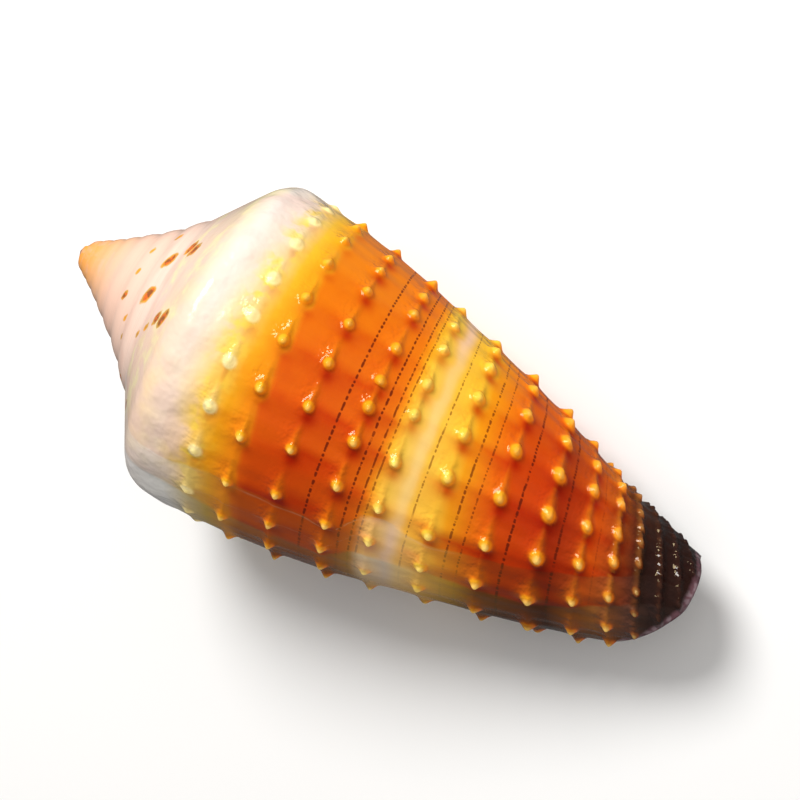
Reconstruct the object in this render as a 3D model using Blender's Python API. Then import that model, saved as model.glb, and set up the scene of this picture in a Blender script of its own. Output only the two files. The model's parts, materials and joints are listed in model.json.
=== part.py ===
"""Cone shell: one hollow, coiled body with rows of small knobs on its last whorl.

The shell is a sheet that grows round its own axis. At each growth angle the sheet
has a cross-section from the suture over the shoulder to the front end, and every
section is set round the axis to make the outside, the wall behind the lip and the
previous whorl inside the opening. All sizes are in millimetres until the mesh is
made. Growth angle 0 is the middle of the back, and it grows toward the outer lip.
"""
import math

import bmesh
import bpy
import numpy as np
from mathutils import Matrix, Vector

MM = 0.001

# Growth of the sheet
LIP = 146
TURN = 360
STEP = 8
CAVITY = 160
RADIUS_RATE = 0.0275
EARLY_RATE = 0.055
EARLY_ANGLE = -150
EARLY_SPREAD = 18
AXIS_RATE = 0.0438
SUTURE_RADIUS = 5.88
SUTURE_RATE = 0.0405
NUCLEUS_RADIUS = 0.75

# Side of the last whorl: distance along the axis from the apex, and radius
SIDE = ((9.0, 10.08), (10.5, 10.13), (12.9, 9.95), (15.6, 9.65), (18.6, 9.19), (21.6, 8.57),
        (24.6, 7.80), (27.6, 7.04), (30.6, 6.22), (33.6, 5.22), (36.0, 4.38), (38.4, 3.57),
        (40.8, 2.94), (43.2, 2.46), (46.8, 1.92), (54.0, 1.32))
# Side of the spire: radius, and distance along the axis
SPIRE = ((0.0, 0.0), (0.54, 0.12), (0.78, 0.36), (1.02, 0.72), (1.38, 1.32), (1.80, 1.98), (2.31, 2.70),
         (2.85, 3.42), (3.36, 4.14), (3.93, 4.86), (4.56, 5.58), (5.40, 6.36), (6.24, 7.32), (7.20, 9.0))
# Corner of the shoulder: growth angle, and distance along the axis
SHOULDER = ((-520, 7.8), (-414, 8.1), (-214, 9.12), (-150, 9.48), (-90, 9.78), (0, 9.84), (146, 10.02))
# Front end of the sheet: growth angle, and distance along the axis
FRONT = ((-520, 41.3), (-90, 41.4), (-45, 41.4), (11, 41.3), (41, 40.7), (62, 40.0), (90, 38.7),
         (120, 37.3), (146, 36.0))

# Wall
WALL = 0.5
LIP_WALL = 0.38
LIP_TAPER = 40

# Lines of the mesh across the sheet
RAMP_LINES = 3
NEXT_SUTURE = 0.45
SHOULDER_START = 0.78
SIDE_START = 10.7
CURVE_LINES = (1 / 3, 2 / 3)
ROW_HALF = 0.6
LAST_FIXED_ROW = 26.3
FRONT_LINES = 15
HOLLOW_LINE = 7
WHORL_BULGE = 0.05

# Knob rows: distance along the axis, a knob's angle, spacing, widening toward the lip, height
ROWS = ((13.3, 5, 15.3, 0.10, 0.24), (15.4, 8, 16.3, 0.12, 0.40), (18.1, 6, 15.6, 0.05, 0.40),
        (21.0, 10, 17.0, -0.03, 0.40), (23.4, 9, 17.5, 0.05, 0.40), (26.3, 4, 15.5, 0.03, 0.42),
        (29.3, 3, 22.0, 0.06, 0.42), (32.1, -1, 22.5, 0.25, 0.42), (34.4, -7, 23.0, 0.22, 0.34),
        (36.3, -13, 21.5, 0.20, 0.30), (37.8, -3, 19.0, 0.0, 0.20), (39.2, 3, 20.0, 0.0, 0.14))
RIDGE = 0.06
FIRST_KNOB = -200
KNOB_MARGIN = 6
END_MARGIN = 0.4

# Resting place on the floor
REST_PITCH = 11.1
REST_ROLL = -6.6


def smooth_curve(points):
    """Monotone cubic through the points."""
    x = np.array([p[0] for p in points], float)
    y = np.array([p[1] for p in points], float)
    h = np.diff(x)
    d = np.diff(y) / h
    m = np.zeros(len(x))
    for i in range(1, len(x) - 1):
        if d[i - 1] * d[i] > 0:
            a = 2 * h[i] + h[i - 1]
            b = h[i] + 2 * h[i - 1]
            m[i] = (a + b) / (a / d[i - 1] + b / d[i])
    m[0] = d[0]
    m[-1] = d[-1]

    def value(t):
        t = min(max(float(t), x[0]), x[-1])
        i = min(int(np.searchsorted(x, t, side="right")) - 1, len(h) - 1)
        s = (t - x[i]) / h[i]
        a = (1 + 2 * s) * (1 - s) ** 2 * y[i]
        b = s * (1 - s) ** 2 * h[i] * m[i]
        c = s * s * (3 - 2 * s) * y[i + 1]
        e = s * s * (s - 1) * h[i] * m[i + 1]
        return a + b + c + e

    return value


side = smooth_curve(SIDE)
spire = smooth_curve(SPIRE)
shoulder_station = smooth_curve(SHOULDER)
front_end = smooth_curve(FRONT)


def radius_growth(angle):
    """Size of the radius at a growth angle, 1 at the middle of the back."""
    late = RADIUS_RATE * math.radians(angle)
    here = math.log1p(math.exp(-(angle - EARLY_ANGLE) / EARLY_SPREAD))
    start = math.log1p(math.exp(EARLY_ANGLE / EARLY_SPREAD))
    return math.exp(late - EARLY_RATE * math.radians(EARLY_SPREAD) * (here - start))


def axis_growth(angle):
    """Size along the axis at a growth angle, 1 at the middle of the back."""
    return math.exp(AXIS_RATE * math.radians(angle))


def suture(angle):
    """Where the sheet starts on the whorl before it."""
    radius = SUTURE_RADIUS * math.exp(SUTURE_RATE * math.radians(angle))
    return Vector((spire(radius), radius))


def side_point(angle, station):
    """Point of the last whorl's side, at a distance along the full-grown side."""
    return Vector((station * axis_growth(angle), radius_growth(angle) * side(station)))


def shoulder_corner(angle):
    station = shoulder_station(angle)
    return Vector((station, radius_growth(angle) * side(station / axis_growth(angle))))


def section_stations(angle):
    """Distances along the full-grown side of the lines in front of the shoulder."""
    lines = [SIDE_START]
    for row in ROWS:
        if row[0] <= LAST_FIXED_ROW:
            lines += [row[0] - ROW_HALF, row[0], row[0] + ROW_HALF]
    end = front_end(angle) / axis_growth(angle)
    start = lines[-1]
    lines += [start + (end - start) * (i + 1) / FRONT_LINES for i in range(FRONT_LINES)]
    return lines


def section(angle):
    """Cross-section of the sheet as points (along the axis, radius) from suture to front end."""
    first = suture(angle)
    corner = shoulder_corner(angle)
    lines = section_stations(angle)
    begin = side_point(angle, lines[0])
    begin[0] = max(begin[0], corner[0] + 0.8)
    begin[1] = radius_growth(angle) * side(begin[0] / axis_growth(angle))
    next_suture = first + NEXT_SUTURE * (corner - first)
    start = LIP - TURN
    reach = suture(LIP) - suture(start) - NEXT_SUTURE * (shoulder_corner(start) - suture(start))
    fade = min(max(1 - (angle - start) / 90, 0), 1)
    next_suture += reach * fade * fade * (3 - 2 * fade)
    bend = first + SHOULDER_START * (corner - first)
    middle = (first + next_suture) / 2
    points = [first, middle, next_suture, (next_suture + bend) / 2, bend]
    for t in CURVE_LINES:
        points.append((1 - t) ** 2 * bend + 2 * t * (1 - t) * corner + t * t * begin)
    points.append(begin)
    points += [side_point(angle, station) for station in lines[1:]]
    return points


def whorl_strip(angle):
    """Cross-section of the part of an early whorl that shows on the spire."""
    first = suture(angle)
    last = suture(angle + TURN)
    across = last - first
    middle = (first + last) / 2 + WHORL_BULGE * Vector((-across[1], across[0]))
    return [first, middle, last]


def turned(angle, point):
    """Set a section point round the axis, with the back upward and the lip side to -Y."""
    a = math.radians(angle)
    return Vector((point[0], -point[1] * math.sin(a), point[1] * math.cos(a)))


def outward(points, index):
    """Unit vector that leaves the section's outer side at a point of it."""
    before = points[max(index - 1, 0)]
    after = points[min(index + 1, len(points) - 1)]
    along = (after - before).normalized()
    return Vector((-along[1], along[0]))


def knob_angles(row):
    """Growth angles of the knobs of a row, before it runs out at the lip or the front end."""
    station, first, spacing, widening, height = row

    def spaced(angle):
        return spacing * (1 + widening * min(max(angle, -90), 90) / 90)

    angles = [first]
    while angles[0] > FIRST_KNOB:
        angles.insert(0, angles[0] - spaced(angles[0]))
    while angles[-1] < LIP:
        angles.append(angles[-1] + spaced(angles[-1]))
    kept = []
    for angle in angles[1:]:
        clear = front_end(angle) / axis_growth(angle) - station
        if angle < LIP - KNOB_MARGIN and clear > END_MARGIN:
            kept.append(angle)
    return kept


class Sheet:
    """Angles, stations and heights of the mesh points of the last whorl's outside."""

    def __init__(self, angles):
        self.angles = angles
        self.sections = [section(a) for a in angles]
        self.places = {}
        self.heights = {}

    def position(self, i, j):
        points = self.sections[i]
        angle = self.angles[i]
        point = points[j]
        if (i, j) in self.places:
            angle, station = self.places[(i, j)]
            point = side_point(angle, station)
        height = self.heights.get((i, j), 0)
        if j > 0 and height:
            point = point + outward(points, j) * height
        return turned(angle, point)

    def raise_rows(self):
        for row in ROWS:
            self.raise_ridge(row)
            last = None
            for angle in knob_angles(row):
                i = round((angle - self.angles[0]) / STEP)
                if last is not None and i < last + 2:
                    i = last + 2
                if i >= len(self.angles) - 1:
                    continue
                last = i
                stations = section_stations(self.angles[i])
                near = min(range(len(stations)), key=lambda k: abs(stations[k] - row[0]))
                if near == len(stations) - 1:
                    continue
                j = HOLLOW_LINE + near
                self.places[(i, j)] = (angle, row[0])
                self.heights[(i, j)] = row[4]

    def raise_ridge(self, row):
        if row[0] > LAST_FIXED_ROW:
            return
        for i in range(1, len(self.angles) - 1):
            stations = section_stations(self.angles[i])
            j = HOLLOW_LINE + stations.index(row[0])
            self.heights[(i, j)] = RIDGE


def add_strip(mesh, first, second):
    """Quads between two rows of the same number of points."""
    for k in range(len(first) - 1):
        corners = []
        for vert in (first[k], first[k + 1], second[k + 1], second[k]):
            if vert not in corners:
                corners.append(vert)
        if len(corners) > 2:
            mesh.faces.new(corners)


def make_shell():
    mesh = bmesh.new()
    outer = Sheet([LIP - TURN + STEP * i for i in range(TURN // STEP + 1)])
    outer.raise_rows()
    count = len(outer.sections[0])

    # Spire strips, from the nucleus to the start of the last whorl
    start = LIP - TURN
    turns = 1
    while suture(start - STEP * turns)[1] > NUCLEUS_RADIUS:
        turns += 1
    early = [start - STEP * i for i in range(turns, 0, -1)]
    per_turn = TURN // STEP
    inner_edge = [mesh.verts.new(turned(a, suture(a))) for a in early]

    # Last whorl's outside
    grid = []
    for i in range(len(outer.angles)):
        grid.append([mesh.verts.new(outer.position(i, j)) for j in range(count)])
    edge = inner_edge + [column[0] for column in grid]
    grid_last = grid[-1]
    spare = grid[0][2]
    edge[-1] = spare
    mesh.verts.remove(grid_last[0])
    grid_last[0] = spare
    middles = [mesh.verts.new(turned(a, whorl_strip(a)[1])) for a in early] + [grid[0][1]]
    for i in range(len(early)):
        a = [edge[i], middles[i], edge[i + per_turn]]
        b = [edge[i + 1], middles[i + 1], edge[i + 1 + per_turn]]
        add_strip(mesh, a, b)
    for i in range(len(grid) - 1):
        add_strip(mesh, grid[i], grid[i + 1])

    # Nucleus
    tip = mesh.verts.new(Vector((0, 0, 0)))
    loop = [edge[i] for i in range(per_turn + 1)] + [middles[0]]
    for k in range(len(loop)):
        mesh.faces.new((tip, loop[k], loop[(k + 1) % len(loop)]))

    # Previous whorl inside the opening
    depth = CAVITY // STEP
    hidden_angles = [start - STEP * i for i in range(depth, 0, -1)]
    hidden = []
    for a in hidden_angles:
        points = section(a)
        hidden.append([mesh.verts.new(turned(a, p)) for p in points[HOLLOW_LINE:]])
    hidden.append(grid[0][HOLLOW_LINE:])
    for i in range(depth):
        add_strip(mesh, hidden[i], hidden[i + 1])

    # Inner side of the wall behind the lip
    lining = []
    for a in outer.angles[-depth - 1:]:
        points = section(a)
        wall = LIP_WALL + (WALL - LIP_WALL) * min((LIP - a) / LIP_TAPER, 1)
        row = []
        for j in range(HOLLOW_LINE, count):
            row.append(mesh.verts.new(turned(a, points[j] - wall * outward(points, j))))
        lining.append(row)
    for i in range(depth):
        add_strip(mesh, lining[i], lining[i + 1])

    # Ends of the hollow: at the shoulder, deep inside, at the lip and at the front end
    add_strip(mesh, [row[0] for row in lining], [row[0] for row in hidden])
    add_strip(mesh, lining[0], hidden[0])
    add_strip(mesh, lining[-1], grid_last[HOLLOW_LINE:])
    corner = grid_last[:HOLLOW_LINE + 1]
    under = grid[0][2:HOLLOW_LINE + 1] + [lining[-1][0]]
    for k in range(len(corner) - 1):
        a = under[min(k, len(under) - 1)]
        b = under[min(k + 1, len(under) - 1)]
        quad = []
        for vert in (corner[k], corner[k + 1], b, a):
            if vert not in quad:
                quad.append(vert)
        if len(quad) > 2:
            mesh.faces.new(quad)
    front_wall = [column[-1] for column in grid[-depth - 1:]]
    add_strip(mesh, front_wall, [row[-1] for row in lining])

    # Front end of the columella
    rim = [row[-1] for row in hidden] + [column[-1] for column in grid[1:len(grid) - depth]]
    rim.append(lining[0][-1])
    centre = Vector((0, 0, 0))
    for vert in rim:
        centre += vert.co / len(rim)
    centre[0] -= 0.3
    middle = mesh.verts.new(centre)
    for k in range(len(rim)):
        mesh.faces.new((middle, rim[k], rim[(k + 1) % len(rim)]))

    bmesh.ops.triangulate(mesh, faces=[f for f in mesh.faces if len(f.verts) > 3])
    bmesh.ops.recalc_face_normals(mesh, faces=mesh.faces)
    if mesh.calc_volume(signed=True) < 0:
        bmesh.ops.reverse_faces(mesh, faces=mesh.faces)
    return mesh


def lay_down(mesh):
    """Turn the shell to the way it rests on a floor, and set the floor under its middle."""
    turn = Matrix.Rotation(math.radians(REST_PITCH), 4, "Y") @ Matrix.Rotation(math.radians(REST_ROLL), 4, "X")
    bmesh.ops.transform(mesh, matrix=turn, verts=mesh.verts)
    points = np.array([v.co for v in mesh.verts])
    low = points.min(axis=0)
    high = points.max(axis=0)
    middle = (low + high) / 2
    shift = Matrix.Translation((-middle[0], -middle[1], -low[2]))
    bmesh.ops.transform(mesh, matrix=Matrix.Scale(MM, 4) @ shift, verts=mesh.verts)


def main():
    for item in list(bpy.data.objects):
        bpy.data.objects.remove(item, do_unlink=True)
    mesh = make_shell()
    lay_down(mesh)
    data = bpy.data.meshes.new("shell")
    mesh.to_mesh(data)
    mesh.free()
    shell = bpy.data.objects.new("shell", data)
    bpy.context.scene.collection.objects.link(shell)
    material = bpy.data.materials.new("shell_body")
    material.use_nodes = True
    shader = material.node_tree.nodes["Principled BSDF"]
    shader.inputs["Base Color"].default_value = (0.80, 0.36, 0.08, 1)
    shader.inputs["Roughness"].default_value = 0.25
    data.materials.append(material)


main()
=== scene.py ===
"""Cone shell with its glaze, knobs and colour bands, on a pale floor.

The shell is first laid out as a flat, unrolled sheet with a growth angle and a
full-grown size at each point. A Geometry Nodes tree winds the sheet round the
shell's axis, raises the knobs, cords and growth ripples on it, and keeps what the
glaze needs to know at each point. The shell is then turned to the way it rests.
Sizes of the sheet are in millimetres until the shell is laid down.
"""

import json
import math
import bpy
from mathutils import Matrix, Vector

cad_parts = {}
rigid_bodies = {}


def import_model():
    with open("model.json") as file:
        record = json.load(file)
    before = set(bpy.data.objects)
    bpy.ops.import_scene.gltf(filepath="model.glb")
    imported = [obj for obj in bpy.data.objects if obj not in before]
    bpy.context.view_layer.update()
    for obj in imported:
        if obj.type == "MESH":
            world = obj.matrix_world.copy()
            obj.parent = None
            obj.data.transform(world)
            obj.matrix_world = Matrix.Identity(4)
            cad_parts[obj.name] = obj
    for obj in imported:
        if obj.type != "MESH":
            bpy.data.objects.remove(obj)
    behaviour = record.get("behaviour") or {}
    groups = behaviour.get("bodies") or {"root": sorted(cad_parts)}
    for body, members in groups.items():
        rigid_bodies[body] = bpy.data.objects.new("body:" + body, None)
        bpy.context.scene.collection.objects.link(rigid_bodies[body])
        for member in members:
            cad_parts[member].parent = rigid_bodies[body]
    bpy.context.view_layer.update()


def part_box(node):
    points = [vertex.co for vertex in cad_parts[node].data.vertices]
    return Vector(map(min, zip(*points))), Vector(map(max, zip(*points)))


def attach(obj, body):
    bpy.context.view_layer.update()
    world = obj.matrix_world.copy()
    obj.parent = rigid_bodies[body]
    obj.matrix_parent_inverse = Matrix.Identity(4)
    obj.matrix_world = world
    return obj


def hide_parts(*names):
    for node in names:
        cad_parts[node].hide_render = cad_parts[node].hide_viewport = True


bl_info = {
    "name": "Cone shell",
    "version": (1, 0, 0),
    "blender": (4, 5, 0),
    "location": "3D View > Sidebar > Shell",
    "description": "Winds a knobbed cone shell from a flat sheet and sets it on a pale floor",
    "category": "Object",
}

import bmesh
import bpy
import numpy as np
from bpy.props import FloatProperty, FloatVectorProperty, PointerProperty
from mathutils import Matrix, Vector

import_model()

MM = 0.001

# Growth of the sheet, as in the part's source
LIP = 146
TURN = 360
START = LIP - TURN
CAVITY = 160
RADIUS_RATE = 0.0275
EARLY_RATE = 0.055
EARLY_ANGLE = -150
EARLY_SPREAD = 18
AXIS_RATE = 0.0438
SUTURE_RADIUS = 5.88
SUTURE_RATE = 0.0405
NUCLEUS_RADIUS = 0.75

# Side of the last whorl: distance along the axis from the apex, and radius
SIDE = ((9.0, 10.08), (10.5, 10.13), (12.9, 9.95), (15.6, 9.65), (18.6, 9.19), (21.6, 8.57),
        (24.6, 7.80), (27.6, 7.04), (30.6, 6.22), (33.6, 5.22), (36.0, 4.38), (38.4, 3.57),
        (40.8, 2.94), (43.2, 2.46), (46.8, 1.92), (54.0, 1.32))
# Side of the spire: radius, and distance along the axis
SPIRE = ((0.0, 0.0), (0.54, 0.12), (0.78, 0.36), (1.02, 0.72), (1.38, 1.32), (1.80, 1.98), (2.31, 2.70),
         (2.85, 3.42), (3.36, 4.14), (3.93, 4.86), (4.56, 5.58), (5.40, 6.36), (6.24, 7.32), (7.20, 9.0))
# Corner of the shoulder: growth angle, and distance along the axis
SHOULDER = ((-520, 7.8), (-414, 8.1), (-214, 9.12), (-150, 9.48), (-90, 9.78), (0, 9.84), (146, 10.02))
# Front end of the sheet: growth angle, and distance along the axis. On the far side of the back it is
# a little shorter than in the part's source, as photographed.
FRONT = ((-520, 41.2), (-150, 41.0), (-90, 40.8), (-60, 40.75), (-45, 40.95), (-30, 41.15), (0, 41.3),
         (11, 41.3), (41, 40.7), (62, 40.0), (90, 38.7), (120, 37.3), (146, 36.0))

# Wall
WALL = 0.5
LIP_WALL = 0.38
LIP_TAPER = 40

# Lines and columns of the mesh
SUTURE_LINES = 4
RAMP_LINES = 6
ROUND_LINES = 12
SIDE_LINES = 130
FRONT_LINES = 74
NEXT_SUTURE = 0.45
SHOULDER_START = 0.78
SIDE_START = 10.7
THINNED_AT = 30.0
ROW_LINES = 1.9
ROW_REACH = 0.42
COLUMNS = ((-214, -100, 100), (-100, 100, 250), (100, 146, 40))
HOLLOW_STEP = 8
HOLLOW_LINES = 34
WHORL_BULGE = 0.065
END_DEPTH = 0.3
SHEET_SCALE = 0.12
# Where the relief sets in, and how far on it is whole: before the lip, after the seam and past the shoulder
LIP_FADE = (1.2, 3)
SEAM_FADE = (0.5, 6)
SHOULDER_FADE = (8.8, 1.4)
FRONT_FADE = 0.3

# Knob rows: station (distance along the full-grown axis), knob height, bead radius, cord height, spacing
# out of sight, and the growth angles of the knobs that can be seen
ROWS = (
    (13.3, 0.17, 0.43, 0.03, 15.3, (-70, -55, -40, -24, -10, 6, 21.5, 38, 57)),
    (15.4, 0.36, 0.39, 0.04, 16.3, (-86, -70, -55, -40, -24, -8, 8.5, 25.5, 44, 63, 86)),
    (18.1, 0.38, 0.39, 0.035, 15.6, (-84, -65, -53, -40, -24.5, -9, 6.5, 22, 40, 55, 70, 87)),
    (21.0, 0.38, 0.39, 0.045, 17.0, (-90, -75, -58, -45, -27, -13, -3, 10, 27, 44, 58, 73, 88)),
    (23.4, 0.36, 0.43, 0.025, 17.5, (-84, -57, -40, -22, -9, 10, 29, 45, 66, 89)),
    (26.3, 0.38, 0.45, 0.03, 18.0, (-84, -66, -50, -31, -13, 6, 32, 50, 66, 92)),
    (29.3, 0.41, 0.47, 0.045, 22.0, (-84, -63, -41, -20, 3, 26, 48, 73, 97)),
    (32.1, 0.42, 0.48, 0.06, 24.0, (-82, -64, -46, -23.5, -1.5, 22, 49, 78)),
    (34.4, 0.36, 0.40, 0.08, 24.0, (-80, -50, -30, -6.5, 16, 41, 71)),
    (36.3, 0.34, 0.40, 0.10, 22.0, (-75, -53, -37, -14, 5, 29.5, 56)),
    (37.8, 0.18, 0.26, 0.16, 17.0, (-64, -45, -31, -19, -3, 18, 36, 58)),
    (39.2, 0.08, 0.20, 0.20, 12.0, (-52, -42, -33, -25, -18, -10, -3, 5, 14, 22, 32)),
    (40.4, 0.06, 0.18, 0.18, 12.0, (-52, -41, -31, -20, -10, 0, 12)),
    (41.5, 0.05, 0.16, 0.15, 14.0, (-50, -38, -26, -14)),
)
FIRST_KNOB = -207
KNOB_MARGIN = 5
END_MARGIN = 0.35
# Degrees of growth by which a point looks ahead for its knob, and back for its stain
LOOK_AHEAD = 3.5
LOOK_BACK = 4.0
# Saw-tooth steps in the bands' edges: degrees past a knob, and the station where they begin
STEP_LAG = 1.2
FIRST_STEP = 14

# Dotted lines: station, strength, half width
LINES = ((19.76, 1.0, 0.075), (21.8, 1.0, 0.07), (22.42, 0.9, 0.062), (22.83, 0.75, 0.056),
         (25.2, 0.7, 0.056), (27.45, 0.85, 0.07), (28.2, 0.75, 0.062), (30.47, 1.0, 0.078),
         (33.1, 1.0, 0.08), (35.3, 0.35, 0.055))
# Degrees of growth from one dot to the next
DOT_SPACING = 2.1

# Flame spots of the spire: angle round the axis, distance along it, radius, spot size
SPOTS = ((-27, 7.74, 7.2, 0.42), (-30, 7.4, 6.7, 0.40), (-46, 5.9, 4.9, 0.30), (-22, 6.5, 5.5, 0.46),
         (2, 6.5, 5.6, 0.50), (6, 8.6, 8.4, 0.52), (8, 8.1, 7.7, 0.40), (15, 7.6, 6.9, 0.30),
         (23, 7.1, 6.1, 0.28), (-32, 4.9, 4.0, 0.26), (-10, 4.9, 4.0, 0.26), (12, 4.9, 4.0, 0.32),
         (26, 5.6, 4.6, 0.24), (38, 5.9, 4.9, 0.26), (52, 8.3, 8.0, 0.42), (66, 6.6, 5.7, 0.36),
         (84, 8.0, 7.5, 0.46), (98, 5.2, 4.3, 0.28), (112, 7.2, 6.3, 0.44), (134, 8.5, 8.2, 0.40),
         (150, 6.3, 5.3, 0.38), (-174, 7.7, 7.0, 0.46), (-158, 5.3, 4.4, 0.28), (-142, 8.2, 7.8, 0.42),
         (-122, 6.6, 5.7, 0.40), (-100, 7.9, 7.3, 0.46), (-84, 5.4, 4.5, 0.28), (-68, 7.3, 6.5, 0.40))
# How far their edges fray, how much shorter they are along the axis than round it, their slant, and the
# size below which they are fainter
FLAME_WARP = 0.6
FLAME_STRETCH = 2.4
FLAME_SLANT = 0.28
SMALL_SPOT = 0.31

# Resting place on the floor, as in the part's source
REST_PITCH = 11.1
REST_ROLL = -6.6

# Camera: distance in pixels of an 800 pixel frame, where the apex is seen, slope of the axis and its tilt
PIXEL = 0.06
VIEW_DISTANCE = 1740
VIEW_FRAME = 800
APEX_SEEN = (80.3, 250.8)
AXIS_SLOPE = 29.40
AXIS_TILT = 6.57
SENSOR = 36

# Colour bands: distance along the full-grown axis, and colour
RAMP_START = 5
RAMP_LENGTH = 40
BACK_BANDS = ((5, "EFC3A8"), (8, "F3D6C2"), (9.7, "EED6B6"), (11.1, "EEE1D6"), (12.3, "EEDCCA"),
              (13.3, "F0D2A2"), (13.9, "F4C970"), (14.4, "F9C02E"), (15.0, "F8B020"), (15.6, "F8A81C"),
              (15.85, "EE860F"), (18.0, "EC820E"), (21.0, "EC7C0F"), (22.3, "EE7C10"), (22.8, "F49A16"),
              (23.1, "F9B824"), (23.5, "FACC3C"), (24.0, "F7BE44"), (24.4, "F6C670"), (24.8, "F8C666"),
              (25.1, "F9BE34"), (26.4, "F9C028"), (27.0, "F4980F"), (28.4, "EE800F"), (29.6, "E4700F"),
              (32.2, "E86E10"), (32.5, "CE6014"), (34.6, "D06412"), (36.5, "CC7218"), (37.4, "6C3816"),
              (39.0, "281510"), (43.0, "120A09"))
# Bands toward the lip: partly the shell's own colour, partly painted shade
LOW_BANDS = ((5, "EDBBA0"), (8, "F2CFBA"), (9.8, "F4D4AC"), (11.2, "F6DCBE"), (12.0, "F7D29A"),
             (12.8, "F8C658"), (13.6, "F8BA38"), (14.2, "F4A418"), (15.0, "EE8C12"), (15.6, "EA8010"),
             (15.85, "DE5A0C"), (18.0, "DA520B"), (21.0, "DE5A0C"), (22.4, "E66C0E"), (22.8, "F28E18"),
             (23.1, "FCB832"), (23.6, "FCCA4C"), (24.1, "FCCA60"), (24.5, "FED27C"), (24.8, "FED078"),
             (25.1, "FCC244"), (26.4, "FCC238"), (27.0, "F6A016"), (28.4, "EA740E"), (29.2, "E25E0C"),
             (29.6, "D2480A"), (32.1, "C63A0A"), (32.4, "A2280A"), (34.0, "B2380A"), (34.8, "D8540C"),
             (36.3, "A04012"), (37.9, "281411"))
LIP_BANDS = ((5, "E0D4CE"), (9, "F0EAE6"), (12, "F6F6F2"), (13.2, "D8CAA6"), (14.5, "C4A648"),
             (15.5, "D08C24"), (16.3, "AC6612"), (19.5, "9A5612"), (21.5, "985E1C"), (22.6, "A07A34"),
             (23.2, "D8C8A8"), (24.4, "B4B6B0"), (25.1, "C2B68E"), (26.6, "CCA650"), (28.2, "AE882A"),
             (29.4, "704C1A"), (32.2, "563414"), (33.0, "402A18"), (34.2, "74481E"), (35.6, "8A5A2A"),
             (36.4, "7A5030"), (37.4, "5E4034"), (38.6, "32221F"), (43.0, "201614"))
KNOB_BANDS = ((5, "FFF2D2"), (13.3, "FFEBA8"), (14.6, "FFC83C"), (15.4, "FFB81E"), (18.1, "FFAE1A"),
              (21.0, "FFAC18"), (22.6, "FFC636"), (23.4, "FFDA58"), (26.3, "FFD03C"), (28.0, "FFB622"),
              (32.1, "FFAC1C"), (36.3, "F6A22A"), (37.8, "925C2C"), (39.2, "3E241C"), (43.0, "2C1C1C"))
SPIRE_BANDS = ((5, "EF9A3A"), (6.2, "F2A95E"), (7.4, "F1B98C"), (8.6, "F0C4AC"), (10.5, "F3CDB8"),
               (13, "F7DCCB"))

# Edges of the darker zone by the lip: distance along the full-grown axis, and growth angle. A ramp's black
# and white stand for the two angles of the range.
EDGE_RANGE = (-20, 70)
FIRST_EDGE = ((5, 47), (12, 47), (14, 45), (19, 45), (21.5, 46), (22.6, 36), (24, 34), (25.4, 37),
             (27, 37), (29, 35), (31, 32), (33, 28), (35, 22), (37, 12), (38.5, 2), (44, -10))
SECOND_EDGE = ((5, 60), (12, 60), (16, 62), (21, 65), (22.6, 56), (25, 56), (26.6, 54), (30, 56),
               (32.4, 55), (34, 49), (36, 40), (38, 28), (40, 18), (44, 8))

# Lights: way from the shell, in the camera's right, down and forward, then distance and size in metres
KEY_LIGHT = ((-0.42, -0.60, -0.68), 0.26, 0.12)
SOFT_LIGHT = ((-0.04, -0.20, -0.96), 0.30, 0.60)


def paint(code, strength=1.0):
    """Linear colour of a six-letter colour code."""
    parts = [int(code[i:i + 2], 16) / 255 for i in (0, 2, 4)]
    parts = [p / 12.92 if p <= 0.04045 else ((p + 0.055) / 1.055) ** 2.4 for p in parts]
    return tuple(min(p * strength, 0.98) for p in parts) + (1.0,)


def smooth_curve(points):
    """Monotone cubic through the points."""
    x = np.array([p[0] for p in points], float)
    y = np.array([p[1] for p in points], float)
    h = np.diff(x)
    d = np.diff(y) / h
    m = np.zeros(len(x))
    for i in range(1, len(x) - 1):
        if d[i - 1] * d[i] > 0:
            a = 2 * h[i] + h[i - 1]
            b = h[i] + 2 * h[i - 1]
            m[i] = (a + b) / (a / d[i - 1] + b / d[i])
    m[0] = d[0]
    m[-1] = d[-1]

    def value(t):
        t = np.clip(t, x[0], x[-1])
        i = np.clip(np.searchsorted(x, t, side="right") - 1, 0, len(h) - 1)
        s = (t - x[i]) / h[i]
        a = (1 + 2 * s) * (1 - s) ** 2 * y[i]
        b = s * (1 - s) ** 2 * h[i] * m[i]
        c = s * s * (3 - 2 * s) * y[i + 1]
        e = s * s * (s - 1) * h[i] * m[i + 1]
        return a + b + c + e

    return value


side = smooth_curve(SIDE)
spire = smooth_curve(SPIRE)
shoulder_station = smooth_curve(SHOULDER)
front_end = smooth_curve(FRONT)


def radius_growth(angle):
    """Size of the radius at a growth angle, 1 at the middle of the back."""
    late = RADIUS_RATE * np.radians(angle)
    here = np.logaddexp(0, (EARLY_ANGLE - angle) / EARLY_SPREAD)
    start = np.logaddexp(0, EARLY_ANGLE / EARLY_SPREAD)
    return np.exp(late - EARLY_RATE * np.radians(EARLY_SPREAD) * (here - start))


def axis_growth(angle):
    """Size along the axis at a growth angle, 1 at the middle of the back."""
    return np.exp(AXIS_RATE * np.radians(angle))


def suture(angle):
    """Where the sheet starts on the whorl before it."""
    radius = SUTURE_RADIUS * np.exp(SUTURE_RATE * np.radians(angle))
    return np.array((spire(radius), radius))


def side_point(angle, station):
    """Point of the last whorl's side, at a distance along the full-grown side."""
    return np.array((station * axis_growth(angle), radius_growth(angle) * side(station)))


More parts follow.
